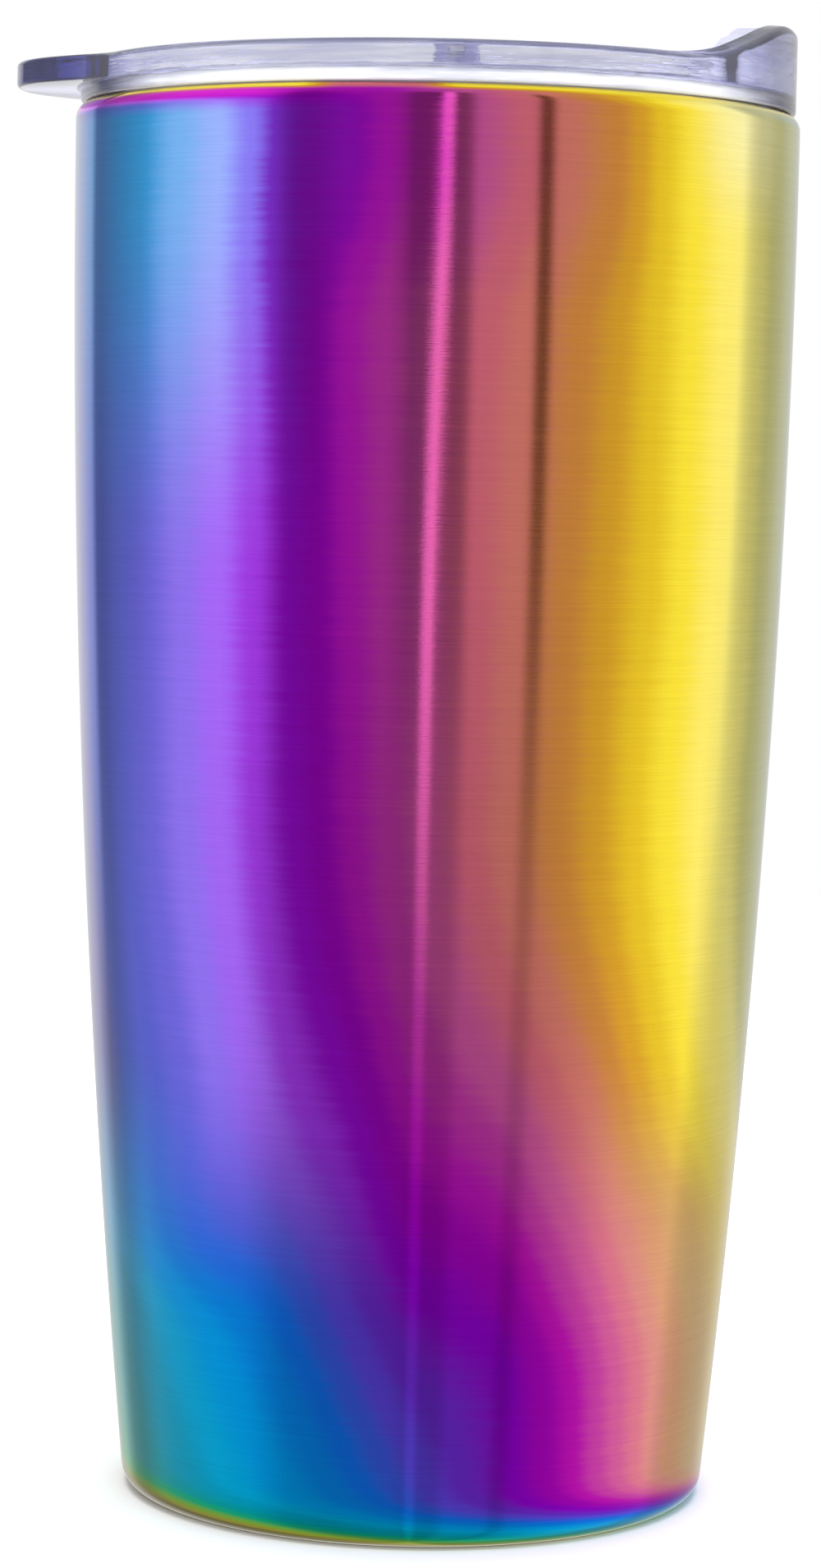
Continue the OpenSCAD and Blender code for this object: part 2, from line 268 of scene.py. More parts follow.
def outer_shell():
    rise = WIDEST_H - BASE_EDGE_R
    edge_x = BODY_R - SIDE_CURVE_R + math.sqrt((SIDE_CURVE_R - BASE_EDGE_R) ** 2 - rise ** 2)
    edge_turn = math.degrees(math.asin(rise / (SIDE_CURVE_R - BASE_EDGE_R)))
    foot_r = 0.8 * MM
    foot_x = FOOT_IN_R + foot_r
    side = heights(BASE_EDGE_R + 0.6 * MM, WIDEST_H - 0.6 * MM, 60)
    shoulder = (BODY_R - SHOULDER_R, WIDEST_H)
    lip = (LIP_X, LIP_Z)
    outline = [(FOOT_IN_R, FOOT_H)]
    outline += arc(foot_x, foot_r, foot_r, 180, 270, 6)
    outline += arc(edge_x, BASE_EDGE_R, BASE_EDGE_R, -90, -edge_turn, 14)
    outline += [(side_r(z), z) for z in side]
    outline += arc(*shoulder, SHOULDER_R, 0, SHOULDER_TURN, 10)
    outline += arc(*lip, LIP_R, SHOULDER_TURN + 5, 90, 9)
    outline += [(MOUTH_R + SHEET, BODY_H), (MOUTH_R + SHEET, BODY_H - SHEET)]
    outline += arc(*lip, LIP_R - SHEET, 90, SHOULDER_TURN, 6)
    outline += arc(*shoulder, SHOULDER_R - SHEET, SHOULDER_TURN - 5, 0, 6)
    outline += [(side_r(z, SHEET), z) for z in reversed(side[::3])]
    outline += arc(edge_x, BASE_EDGE_R, BASE_EDGE_R - SHEET, -edge_turn, -90, 8)
    outline += arc(foot_x, foot_r, foot_r - SHEET, 270, 180, 5)
    outline += [(FOOT_IN_R + SHEET, FOOT_H)]
    return turned("rainbow_shell", outline)


def liner_wall():
    edge_r = SHEET * 0.8
    side = heights(LINER_JOIN, STRAIGHT_MOUTH_H, 40)
    outline = [(liner_r(z), z) for z in side]
    outline += arc(MOUTH_R + edge_r, BODY_H - edge_r, edge_r, 180, 90, 6)
    outline += [(MOUTH_R + SHEET, BODY_H)]
    outline += [(liner_r(z) + SHEET, z) for z in reversed(side[::4])]
    return turned("liner_tube", outline)


def liner_base():
    corner_z = LINER_FLOOR + LINER_CORNER_R
    corner_x = liner_r(corner_z) - LINER_CORNER_R
    join_r = liner_r(LINER_JOIN)
    outline = [(0, LINER_FLOOR)]
    outline += [(r * MM, LINER_FLOOR) for r in (4, 9, 15)]
    outline += arc(corner_x, corner_z, LINER_CORNER_R, -90, -4, 24)
    outline += [(join_r, LINER_JOIN), (join_r + SHEET, LINER_JOIN)]
    outline += arc(corner_x, corner_z, LINER_CORNER_R + SHEET, -4, -90, 12)
    outline += [(0, LINER_FLOOR - SHEET)]
    return turned("liner_floor", outline)


def base_cover():
    """The thin disc under the foot, with a shallow pressed ring."""
    r = radius_of("base_cover")
    z = bottom_of("base_cover")
    top = top_of("base_cover")
    t = 0.4 * MM
    edge = 0.3 * MM
    ring_r = r * 0.72
    step = 0.15 * MM
    outline = [(0, z + step), (ring_r - 1.2 * MM, z + step)]
    outline += [(ring_r - 0.6 * MM, z + 0.6 * step), (ring_r, z)]
    outline += arc(r - edge, z + edge, edge, -90, 0, 5)
    outline += [(r, top), (r - t, top), (r - t, z + t), (0, z + t)]
    return turned("base_disc", outline, segments=192, sharp_deg=50)


# ---------------------------------------------------------------- the clear lid

WALL_IN_R = BRIM_R - 1.95 * MM
SPOUT_IN_R = BRIM_R - 2.6 * MM
TAB_TURN = 27
TAB_POWER = 1.2
TAB_BOTTOM = BRIM_Z + 1.6 * MM


def tab_length(turn_deg):
    """How far the tab stands out, at an angle in degrees from its middle."""
    share = min(abs(turn_deg) / TAB_TURN, 1) ** TAB_POWER
    return TAB_L * (1 + math.cos(math.pi * share)) / 2


def spout_edge(y):
    """Height of the brim's top edge at a distance y across the spout."""
    slope = math.radians(20)
    crest_half, shoulder, foot = 10 * MM, 26 * MM, 22 * MM
    shoulder_y = crest_half + shoulder * math.sin(slope)
    shoulder_z = CREST_Z - shoulder * (1 - math.cos(slope))
    run = (shoulder_z - TOP_Z - foot * (1 - math.cos(slope))) / math.tan(slope)
    foot_y = shoulder_y + run + foot * math.sin(slope)
    y = abs(y)
    if y <= crest_half:
        return CREST_Z
    if y <= shoulder_y:
        return CREST_Z - shoulder + math.sqrt(shoulder ** 2 - (y - crest_half) ** 2)
    if y <= shoulder_y + run:
        return shoulder_z - (y - shoulder_y) * math.tan(slope)
    if y < foot_y:
        return TOP_Z + foot - math.sqrt(foot ** 2 - (foot_y - y) ** 2)
    return TOP_Z


def lid_outline(a):
    """The lid's closed cross-section at angle a round the axis, from the floor out and back."""
    side = math.sin(a)
    spout = math.cos(a) > 0
    rise_in = (spout_edge(SPOUT_IN_R * side) if spout else TOP_Z) - TOP_Z
    rise_out = (spout_edge(BRIM_R * side) if spout else TOP_Z) - TOP_Z
    grow = smoothstep(0, 2 * MM, rise_out)
    wall_in = WALL_IN_R + (SPOUT_IN_R - WALL_IN_R) * grow
    edge = 0.6 * MM
    in_edge = (0.6 + 0.1 * grow) * MM
    out_edge = (0.9 + 0.1 * grow) * MM
    turn = math.degrees(math.pi - abs(a - 2 * math.pi if a > math.pi else a))
    tab = tab_length(turn)
    tip_edge = out_edge - min(0.4 * MM, tab * 0.2)
    tip = BRIM_R + tab
    low_edge = min(0.45 * MM, tab * 0.4)
    root = min(0.6 * MM, tab * 0.3)
    out = [(r * MM, FLOOR_TOP) for r in (0, 2, 5, 9, 14, 20, 26, 32)]
    out += arc(SKIRT_IN_R - 1.5 * MM, FLOOR_TOP + 1.5 * MM, 1.5 * MM, -90, 0, 8)
    out += arc(SKIRT_IN_R + edge, FLANGE_TOP - edge, edge, 180, 90, 6)
    out += arc(wall_in - edge, FLANGE_TOP + edge, edge, -90, 0, 6)
    out += arc(wall_in + in_edge, TOP_Z + rise_in - in_edge, in_edge, 180, 90, 7)
    out += arc(tip - tip_edge, TOP_Z + rise_out - tip_edge, tip_edge, 90, 0, 10)
    out += arc(tip - low_edge, TAB_BOTTOM + low_edge, low_edge, 0, -90, 6)
    out += arc(BRIM_R + root, TAB_BOTTOM - root, root, 90, 180, 5)
    out += arc(BRIM_R - edge, BRIM_LOW + edge, edge, 0, -90, 6)
    out += [(SKIRT_R, BRIM_LOW), (SKIRT_R, GROOVE_Z + GROOVE_H), (GROOVE_R, GROOVE_Z + GROOVE_H)]
    out += [(GROOVE_R, GROOVE_Z), (SKIRT_R, GROOVE_Z)]
    out += arc(SKIRT_R - edge, SKIRT_BOTTOM + edge, edge, 0, -90, 5)
    out += arc(SKIRT_IN_R + 0.3 * MM, SKIRT_BOTTOM + 0.3 * MM, 0.3 * MM, -90, -180, 3)
    out += arc(SKIRT_IN_R - 1 * MM, FLOOR_BOTTOM - 1 * MM, 1 * MM, 0, 90, 6)
    out += [(r * MM, FLOOR_BOTTOM) for r in (30, 18, 0)]
    return out


def stadium(r, z):
    """The outline of the drinking slot grown to radius r, at height z."""
    n = 14
    right = [(SLOT_X + x, SLOT_END_Y + y, z) for x, y in arc(0, 0, r, 0, 180, n)]
    left = [(SLOT_X + x, y - SLOT_END_Y, z) for x, y in arc(0, 0, r, 180, 360, n)]
    return right + left


def slot_cutter():
    """Cuts the drinking slot, with its two rims rounded by flared ends."""
    r, rim = 2.6 * MM, 0.45 * MM
    flare = [(r + rim - x, z) for x, z in arc(0, 0, rim, 0, 80, 6)]
    rings = [stadium(r + rim * 1.6, FLOOR_BOTTOM - 0.3 * MM)]
    rings += [stadium(q, FLOOR_BOTTOM + rim - z) for q, z in reversed(flare)]
    rings += [stadium(q, FLOOR_TOP - rim + z) for q, z in flare]
    rings += [stadium(r + rim * 1.6, FLOOR_TOP + 0.3 * MM)]
    bm = bmesh.new()
    skin(bm, rings)
    return new_object("slot_cutter", bm)


def hole_cutter(x, z, r):
    """An upright cutter for a round hole through a plate that is up to 2 mm thick and starts at z."""
    low, high = -1 * MM, 3 * MM
    cutter = turned("hole_cutter", [(0, low), (r, low), (r, high), (0, high)], 48)
    cutter.data.transform(Matrix.Translation((x, 0, z)))
    return cutter


def bore_cutter(r, reach):
    """A cutter along the hinge's axis."""
    return cylinder_y("bore_cutter", HINGE_X, HINGE_Z, [(r, -reach), (r, reach)])


def hinge_ear(y0, y1):
    ear_r, foot = 2.5 * MM, 3.5 * MM
    low = FLOOR_TOP - 0.2 * MM
    outline = arc(HINGE_X, HINGE_Z, ear_r, 0, 180, 20)
    outline += [(HINGE_X - foot, low), (HINGE_X + foot, low)]
    bm = bmesh.new()
    skin(bm, [[(x, y, z) for x, z in outline] for y in (y0, y1)])
    return round_edges(new_object("ear", bm), 0.3 * MM, angle=60)


def lid_body():
    lid = turned_by("clear_lid", lid_outline, 360)
    gap, ear_t = 0.3 * MM, 2.2 * MM
    ear_in = KNUCKLE_HALF + gap
    ear_out = ear_in + ear_t
    for low, high in ((-ear_out, -ear_in), (ear_in, ear_out)):
        combine(lid, hinge_ear(low, high), "UNION")
    combine(lid, slot_cutter(), "DIFFERENCE")
    combine(lid, hole_cutter(VENT_X, FLOOR_BOTTOM, VENT_R), "DIFFERENCE")
    combine(lid, bore_cutter(PIN_R + 0.02 * MM, ear_out + 1 * MM), "DIFFERENCE")
    shade(lid)
    return lid


def lid_gasket():
    back, body, lip = GROOVE_R + 0.15 * MM, SKIRT_R - 0.1 * MM, MOUTH_R - 0.2 * MM
    z0 = GROOVE_Z + 0.1 * MM
    outline = [(back, z0), (body - 0.2 * MM, z0), (body, z0 + 0.1 * MM)]
    for lift in (0, 1.25 * MM):
        outline += arc(lip - 0.2 * MM, z0 + lift + 0.5 * MM, 0.2 * MM, -70, 70, 6)
        outline += [(body, z0 + lift + 0.85 * MM)]
    outline += [(body - 0.1 * MM, z0 + 2.2 * MM), (back, z0 + 2.2 * MM)]
    return turned("gasket_ring", outline, sharp_deg=50)


# ---------------------------------------------------------------- the flip cap

def soft_outline(corners):
    """A closed outline whose corners, each given as (x, z, radius), are rounded."""
    out = []
    for i, (x, z, r) in enumerate(corners):
        here = Vector((x, z))
        before = (Vector(corners[i - 1][:2]) - here).normalized()
        after = (Vector(corners[(i + 1) % len(corners)][:2]) - here).normalized()
        half = before.angle(after) / 2
        if r == 0:
            out.append((x, z))
            continue
        reach = r / math.tan(half)
        centre = here + (before + after).normalized() * (r / math.sin(half))
        start, end = here + before * reach - centre, here + after * reach - centre
        first, last = math.atan2(start.y, start.x), math.atan2(end.y, end.x)
        turn = (last - first + math.pi) % (2 * math.pi) - math.pi
        out += arc(centre.x, centre.y, r, math.degrees(first), math.degrees(first + turn), 5)
    return out


def plate_ring(x, half, low, high, edge):
    """A rounded rectangle across the cap at distance x, bent round the cup's axis near the nose."""
    ring = []
    steps = 10
    bend = smoothstep(24 * MM, 32 * MM, x)
    corners = arc(half - edge, low + edge, edge, -90, 0, 4)
    corners += arc(half - edge, high - edge, edge, 0, 90, 4)
    top = [(half - edge - (2 * half - 2 * edge) * k / steps, high) for k in range(1, steps)]
    left = [(-y, z) for y, z in reversed(corners)]
    bottom = [(-y, low) for y, z in top]
    for y, z in corners + top + left + bottom:
        bent = math.sqrt(max(x * x - y * y, 0))
        ring.append((x + (bent - x) * bend, y, z))
    return ring


def cap_nose():
    """A wall just inside the spout with a stepped ledge for the thumb on top."""
    front, nose_r = SKIRT_IN_R - 0.6 * MM, SPOUT_IN_R - 0.45 * MM
    wall = 1.8 * MM
    ledge = CREST_Z + 0.15 * MM
    step_r = nose_r - 4.4 * MM
    root_r = front - wall - 1 * MM
    corners = [(root_r, CAP_BOTTOM, 0),
               (front, CAP_BOTTOM, 0.5 * MM),
               (front, FLANGE_TOP + 0.9 * MM, 0.6 * MM),
               (nose_r, FLANGE_TOP + 2.7 * MM, 0.8 * MM),
               (nose_r, ledge, 0.6 * MM),
               (step_r + 0.7 * MM, ledge, 0.3 * MM),
               (step_r, ledge - 0.45 * MM, 0.2 * MM),
               (step_r - 0.4 * MM, ledge - 0.85 * MM, 0.3 * MM),
               (step_r - 1.3 * MM, ledge - 1.2 * MM, 0.5 * MM),
               (step_r - 2.5 * MM, ledge - 2.7 * MM, 0.35 * MM),
               (step_r - 1.7 * MM, ledge - 3.2 * MM, 0.3 * MM),
               (nose_r - wall - 0.4 * MM, ledge - 2.5 * MM, 0.5 * MM),
               (nose_r - wall, FLANGE_TOP + 3.4 * MM, 0.8 * MM),
               (root_r, CAP_BOTTOM + CAP_T, 0.3 * MM)]
    outline = soft_outline(corners)
    bm = bmesh.new()
    turn, steps = 12.5, 40
    rings = []
    for k in range(steps + 1):
        a = math.radians(turn * (2 * k / steps - 1))
        rings.append([(r * math.cos(a), r * math.sin(a), z) for r, z in outline])
    skin(bm, rings)
    return round_edges(new_object("nose", bm), 0.3 * MM, angle=50)


def cap_neck():
    """The block that joins the cap's plate to its knuckle."""
    x0, x1 = HINGE_X - 1.6 * MM, HINGE_X + 2.25 * MM
    half = KNUCKLE_HALF - 0.15 * MM
    outline = [(x0, CAP_BOTTOM), (x1, CAP_BOTTOM), (x1, HINGE_Z), (x0, HINGE_Z)]
    bm = bmesh.new()
    skin(bm, [[(x, y, z) for x, z in outline] for y in (-half, half)])
    return round_edges(new_object("neck", bm), 0.3 * MM)


def vent_nub():
    """The small peg under the cap that goes into the vent hole."""
    r, edge = 0.7 * MM, 0.25 * MM
    low, top = -0.5 * MM, CAP_BOTTOM - FLOOR_TOP + 0.3 * MM
    nub = turned("nub", [(0, low), (r - edge, low), (r, low + edge), (r, top), (0, top)], 40)
    nub.data.transform(Matrix.Translation((VENT_X, 0, FLOOR_TOP)))
    return nub


def flip_cap():
    """The flip cap: a flat plate with a nose at the spout and a knuckle at the hinge."""
    low, high = CAP_BOTTOM, CAP_BOTTOM + CAP_T
    cap_half, nose_half = 9.8 * MM, 8.7 * MM
    front = SKIRT_IN_R - 0.7 * MM

    def half_at(x):
        widen = (cap_half - KNUCKLE_HALF) * smoothstep(5 * MM, 22 * MM, x)
        narrow = (cap_half - nose_half) * smoothstep(28 * MM, 35 * MM, x)
        return KNUCKLE_HALF + widen - narrow

    stations = heights(1.6 * MM, front, 22)
    bm = bmesh.new()
    skin(bm, [plate_ring(x, half_at(x), low, high, 0.5 * MM) for x in stations])
    cap = new_object("clear_flip_cap", bm)
    combine(cap, cap_nose(), "UNION")

    knuckle = pin_outline(2.3 * MM, KNUCKLE_HALF, 0.4 * MM)
    combine(cap, cylinder_y("knuckle", HINGE_X, HINGE_Z, knuckle, 80), "UNION")
    combine(cap, cap_neck(), "UNION")
    combine(cap, vent_nub(), "UNION")
    combine(cap, bore_cutter(PIN_R + 0.06 * MM, KNUCKLE_HALF + 1 * MM), "DIFFERENCE")
    combine(cap, hole_cutter(STEM_X, CAP_BOTTOM, STEM_R + 0.05 * MM), "DIFFERENCE")
    shade(cap)
    return cap


STOPPER_Z = FLOOR_TOP + 0.4 * MM  # the underside of the stopper's flange
STOPPER_T = CAP_BOTTOM - STOPPER_Z


def stopper_plug():
    """The plug in the drinking slot, with the flange that lies between the lid's floor and the cap."""
    low = FLOOR_BOTTOM + 0.2 * MM
    edge, flange_edge, flange_top_edge = 0.4 * MM, 0.3 * MM, 0.2 * MM
    plug_r, root_r, flange_r = 1.9 * MM, 2.3 * MM, 3.5 * MM
    profile = arc(plug_r - edge, low + edge, edge, -90, 0, 4)
    profile += [(root_r, STOPPER_Z - 0.05 * MM)]
    profile += arc(flange_r - flange_edge, STOPPER_Z + flange_edge, flange_edge, -90, 0, 4)
    profile += arc(flange_r - flange_top_edge, CAP_BOTTOM - flange_top_edge, flange_top_edge, 0, 90, 3)
    bm = bmesh.new()
    skin(bm, [stadium(r, z) for r, z in profile])
    return new_object("silicone_stopper", bm)


def stopper_tongue():
    """The flat tongue that runs back from the flange to the stem."""
    half, low_edge, top_edge = 3 * MM, 0.3 * MM, 0.2 * MM
    low, top = STOPPER_Z + 0.005 * MM, CAP_BOTTOM - 0.005 * MM
    profile = arc(half - low_edge, low + low_edge, low_edge, -90, 0, 4)
    profile += arc(half - top_edge, top - top_edge, top_edge, 0, 90, 3)
    bm = bmesh.new()
    rings = []
    for r, z in profile:
        back = [(STEM_X + x, y, z) for x, y in arc(0, 0, r, 90, 270, 16)]
        rings.append(back + [(SLOT_X, -r, z), (SLOT_X, r, z)])
    skin(bm, rings)
    return new_object("tongue", bm)


def stopper_stem():
    """The stem through the cap, with the button on top that holds it."""
    low, head_z, button_r, edge = STOPPER_T - 0.3 * MM, STOPPER_T + CAP_T, 2.4 * MM, 0.3 * MM
    outline = [(0, low), (STEM_R, low), (STEM_R, head_z), (button_r - 0.2 * MM, head_z)]
    outline += arc(button_r - edge, head_z + 0.35 * MM, edge, -60, 70, 5)
    outline += [(button_r / 2, head_z + 0.78 * MM), (0, head_z + 0.8 * MM)]
    stem = turned("stem", outline, 48)
    stem.data.transform(Matrix.Translation((STEM_X, 0, STOPPER_Z)))
    return stem


def cap_stopper():
    stopper = stopper_plug()
    combine(stopper, stopper_tongue(), "UNION")
    combine(stopper, stopper_stem(), "UNION")
    shade(stopper)
    return stopper


def hinge_pin():
    return cylinder_y("steel_hinge_pin", HINGE_X, HINGE_Z, pin_outline(PIN_R, PIN_HALF, 0.2 * MM))


# ---------------------------------------------------------------- materials

class Nodes:
    """A short way to build a node tree: add() makes a node, and links from sockets or sets values."""

    def __init__(self, tree):
        self.tree = tree
        tree.nodes.clear()

    def add(self, kind, inputs=None, **settings):
        node = self.tree.nodes.new(kind)
        for key, value in settings.items():
            setattr(node, key, value)
        for key, value in (inputs or {}).items():
            if isinstance(value, bpy.types.NodeSocket):
                self.tree.links.new(value, node.inputs[key])
            else:
                node.inputs[key].default_value = value
        return node

    def math(self, operation, a, b=0.0, clamp=False):
        """A Math node. The methods times, plus and minus are short forms of it."""
        node = self.add("ShaderNodeMath", {0: a, 1: b}, operation=operation, use_clamp=clamp)
        return node.outputs[0]

    def times(self, first, *rest):
        for value in rest:
            first = self.math("MULTIPLY", first, value)
        return first

    def plus(self, first, *rest):
        for value in rest:
            first = self.math("ADD", first, value)
        return first

    def minus(self, a, b):
        return self.math("SUBTRACT", a, b)

    def rest_of(self, share):
        """What is left of the whole beside a share of it."""
        return self.minus(1.0, share)

    def share_below(self, value, top):
        """Falls evenly from 1 where the value is 0 to 0 where it reaches top."""
        return self.math("SUBTRACT", 1.0, self.math("DIVIDE", value, top), clamp=True)

    def mix(self, share, a, b):
        return self.add("ShaderNodeMix", {0: share, 2: a, 3: b}).outputs[0]

    def mix_color(self, share, a, b, blend="MIX"):
        node = self.add("ShaderNodeMix", {0: share, 6: a, 7: b}, data_type="RGBA", blend_type=blend)
        return node.outputs[2]

    def surface_point(self):
        """The shaded point in the cup's frame: its vector, its x and z, and its distance from the axis."""
        at = self.add("ShaderNodeTexCoord").outputs["Object"]
        x, y, z = self.add("ShaderNodeSeparateXYZ", {0: at}).outputs
        r = self.math("SQRT", self.plus(self.times(x, x), self.times(y, y)))
        return at, x, z, r

    def smooth(self, value, low, high, to_low=0.0, to_high=1.0):
        """Goes smoothly from to_low to to_high as the value goes from low to high."""
        node = self.add("ShaderNodeMapRange", {"Value": value, "From Min": low, "From Max": high,
                                               "To Min": to_low, "To Max": to_high},
                        interpolation_type="SMOOTHSTEP")
        return node.outputs[0]

    def noise(self, vector, scale, detail, roughness=0.5):
        node = self.add("ShaderNodeTexNoise", {"Vector": vector, "Scale": scale, "Detail": detail,
                                               "Roughness": roughness})
        return node.outputs["Fac"]

    def scaled(self, vector, scale):
        return self.add("ShaderNodeMapping", {"Vector": vector, "Scale": scale}).outputs[0]

    def ramp(self, value, stops, interpolation="EASE"):
        """A colour ramp whose stops are (position, colour) pairs."""
        node = self.add("ShaderNodeValToRGB", {"Fac": value})
        ramp = node.color_ramp
        ramp.interpolation = interpolation
        while len(ramp.elements) > 1:
            ramp.elements.remove(ramp.elements[-1])
        ramp.elements[0].position = stops[0][0]
        ramp.elements[0].color = stops[0][1]
        for position, color in stops[1:]:
            ramp.elements.new(position).color = color
        return node.outputs["Color"]


def rgb(r, g, b):
    """A colour given as screen values from 0 to 255, in the linear values that a shader takes."""
    def linear(c):
        c /= 255
        return c / 12.92 if c <= 0.04045 else ((c + 0.055) / 1.055) ** 2.4
    return (linear(r), linear(g), linear(b), 1.0)


def material(name):
    made = bpy.data.materials.new(name)
    made.use_nodes = True
    return made, Nodes(made.node_tree)


def bumped(n, height, strength, distance):
    settings = {"Height": height, "Strength": strength, "Distance": distance}
    return n.add("ShaderNodeBump", settings).outputs[0]


def finish_shader(n, inputs, bump, strength, distance):
    """Ends a material with a Principled shader, whose surface is roughened by the bump's height."""
    inputs["Normal"] = bumped(n, bump, strength, distance)
    shader = n.add("ShaderNodeBsdfPrincipled", inputs)
    n.add("ShaderNodeOutputMaterial", {"Surface": shader.outputs[0]})


# The coating's run of colours, each placed at the angle in degrees from the front, positive towards
# the spout, that it has at mid height. The foot has a run of its own, and so has a blue patch below
# the mouth at the left. The foot's run ends in a dark olive, which is painted shade: only the shaded
# underside of the foot's edge reaches it.
COATING_UPPER = [
    (-180, rgb(214, 190, 60)), (-160, rgb(150, 180, 60)), (-140, rgb(60, 160, 110)),
    (-122, rgb(10, 146, 160)), (-104, rgb(30, 120, 190)), (-88, rgb(88, 84, 150)),
    (-76, rgb(92, 84, 158)), (-67, rgb(72, 92, 195)), (-58, rgb(88, 96, 210)),
    (-50, rgb(110, 102, 222)), (-42, rgb(143, 113, 240)), (-34, rgb(166, 102, 247)),
    (-28, rgb(160, 58, 225)), (-22, rgb(142, 14, 190)), (-17, rgb(142, 6, 170)),
    (-12, rgb(165, 22, 165)), (-6, rgb(172, 48, 148)), (0, rgb(186, 78, 142)), (8, rgb(200, 98, 114)),
    (13, rgb(205, 115, 104)), (22, rgb(203, 133, 60)), (28, rgb(214, 157, 42)), (35, rgb(228, 191, 38)),
    (42, rgb(245, 221, 54)), (50, rgb(250, 231, 102)), (58, rgb(246, 233, 120)),
    (65, rgb(204, 199, 103)), (72, rgb(194, 194, 122)), (90, rgb(172, 192, 170)),
]
# the two darkest stops, which only the foot's edge reaches, are a dark olive: painted shade for the foot's
# shaded underside
COATING_LOWER = [
    (-180, rgb(108, 98, 30)), (-155, rgb(140, 138, 40)), (-138, rgb(104, 156, 56)),
    (-120, rgb(20, 155, 110)), (-104, rgb(3, 145, 150)), (-88, rgb(2, 146, 178)),
    (-78, rgb(2, 154, 200)), (-66, rgb(2, 142, 212)), (-56, rgb(8, 120, 210)), (-49, rgb(18, 103, 214)),
    (-43, rgb(55, 84, 206)), (-37, rgb(86, 64, 202)), (-31, rgb(98, 40, 186)), (-23, rgb(128, 3, 180)),
    (-16, rgb(150, 4, 165)), (-10, rgb(175, 16, 163)), (-5, rgb(188, 58, 154)), (0, rgb(203, 88, 147)),
    (5, rgb(214, 113, 136)), (10, rgb(216, 138, 128)), (16, rgb(215, 154, 113)),
    (25, rgb(212, 172, 112)), (45, rgb(236, 206, 80)), (60, rgb(246, 224, 100)),
    (90, rgb(190, 190, 120)),
]
COATING_PATCH = [
    (-90, rgb(84, 100, 160)), (-76, rgb(80, 110, 170)), (-66, rgb(62, 140, 205)),
    (-58, rgb(38, 138, 205)), (-50, rgb(54, 158, 222)), (-42, rgb(120, 181, 245)),
    (-34, rgb(154, 178, 252)), (-28, rgb(136, 121, 242)), (-24, rgb(118, 48, 196)),
    (-18, rgb(118, 22, 165)), (-12, rgb(143, 23, 171)), (-6, rgb(150, 30, 150)),
    (90, rgb(200, 205, 140)),
]
FILM_LOW, FILM_HIGH = -180.0, 95.0


def on_ramp(n, film, colors):
    """The colour that a film position has in a run of colours."""
    span = FILM_HIGH - FILM_LOW
    share = n.math("DIVIDE", n.minus(film, FILM_LOW), span, clamp=True)
    return n.ramp(share, [((a - FILM_LOW) / span, c) for a, c in colors])


def coating_film(n, at, angle, z):
    """Where a point lies on the coating's run of colours: its angle, less the shifts towards blue."""
    drift_top, drift_power, drift_most = 88 * MM, 1.75, 47.0
    foot_top, foot_power, foot_most = 8.5 * MM, 4.0, 150.0

    # the whole run drifts on the way down, but less at the left and in a narrow part beside it
    drift = n.times(n.math("POWER", n.share_below(z, drift_top), drift_power), drift_most)
    held_left = n.times(n.smooth(angle, -20.0, -46.0, 0.0, 0.6), n.smooth(z, 22 * MM, 36 * MM),
                        n.smooth(z, 56 * MM, 40 * MM, 0.4, 1.0))
    held_middle = n.times(n.smooth(angle, -10.0, -22.0, 0.0, 0.22), n.smooth(angle, -42.0, -30.0),
                          n.smooth(z, 32 * MM, 50 * MM))
    drift = n.times(drift, n.rest_of(held_left), n.rest_of(held_middle))

    # the right half drifts further, least at its far side
    held_right = n.times(n.smooth(angle, 28.0, 44.0, 0.0, 0.6), n.smooth(z, 36 * MM, 48 * MM))
    skew = n.times(n.smooth(z, 80 * MM, 28 * MM, 0.0, 11.0), n.smooth(z, 2 * MM, 24 * MM),
                   n.smooth(angle, -4.0, 18.0), n.rest_of(held_right))

    # the foot's edge runs through the rest of the colours, down to a dark olive that is painted shade for
    # its shaded underside, and the part below the mouth shifts a little
    foot = n.times(n.math("POWER", n.share_below(z, foot_top), foot_power), foot_most)
    mouth = n.times(n.smooth(z, 138 * MM, 156 * MM, 0.0, 6.0), n.smooth(angle, 40.0, 26.0),
                    n.smooth(angle, -22.0, -12.0))

    cloud = n.minus(n.noise(n.scaled(at, (1, 1, 0.45)), 28.0, 3.0), 0.5)
    fine = n.minus(n.noise(n.scaled(at, (1, 1, 26)), 60.0, 3.0), 0.5)
    film = n.minus(angle, n.plus(drift, skew, foot, mouth))
    return n.plus(film, n.times(cloud, 6.0), n.times(fine, 3.0))


